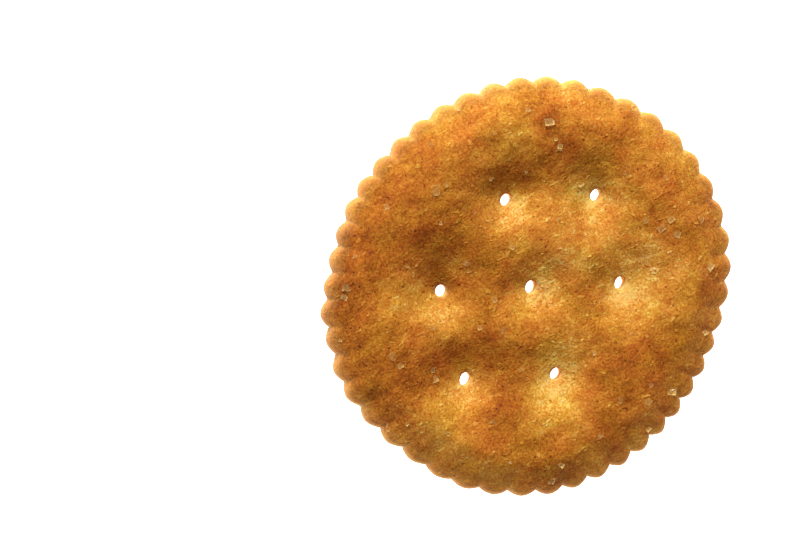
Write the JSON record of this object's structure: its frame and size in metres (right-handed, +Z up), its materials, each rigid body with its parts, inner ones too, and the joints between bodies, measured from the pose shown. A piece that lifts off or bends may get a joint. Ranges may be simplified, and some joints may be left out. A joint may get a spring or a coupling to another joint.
{
  "type": "butter cracker",
  "caption": "Round puffed butter cracker with a scalloped rim, docking pin holes through both crusts and coarse salt on top.",
  "frame": {"origin": "on the surface that the cracker rests on, under the centre of its outline", "axes": "+Z up out of the salted top, +X along the longer axis of the slightly oval outline, which two of the outer pin holes lie on"},
  "size_m": [0.0476, 0.0446, 0.0061],
  "materials": {
    "crust": "dry golden-brown baked crust, darker on the blisters, pale in the pin dimples, with clear salt grains"
  },
  "bodies": {
    "root": {"cracker": "crust"}
  },
  "joints": []
}
